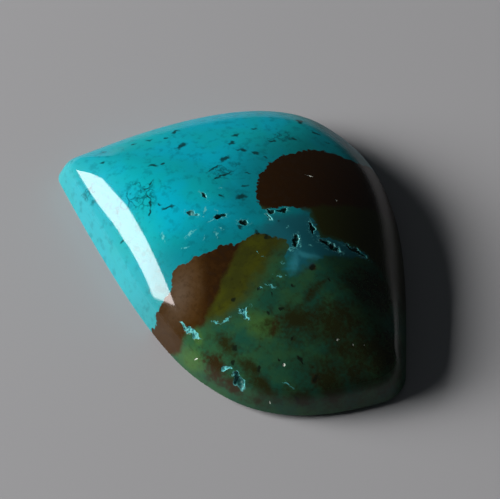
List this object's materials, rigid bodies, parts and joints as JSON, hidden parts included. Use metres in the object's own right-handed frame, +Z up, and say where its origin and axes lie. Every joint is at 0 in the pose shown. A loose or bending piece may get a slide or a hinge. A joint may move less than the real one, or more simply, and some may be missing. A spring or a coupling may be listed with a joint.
{
  "type": "polished gem silica cabochon",
  "caption": "Freeform cabochon of blue-green gem silica with brown matrix, flat back, low girdle and domed polished crown.",
  "frame": {"origin": "middle of the plan's bounding box, on the flat back", "axes": "+Z up out of the domed crown, +X along the stone's length towards its blunter point, +Y towards its fuller side"},
  "size_m": [0.034, 0.0256, 0.0062],
  "materials": {
    "gem_silica": "polished opaque to faintly translucent chalcedony, turquoise blue with dark brown and olive matrix patches"
  },
  "bodies": {
    "root": {"cabochon": "gem_silica"}
  },
  "joints": []
}
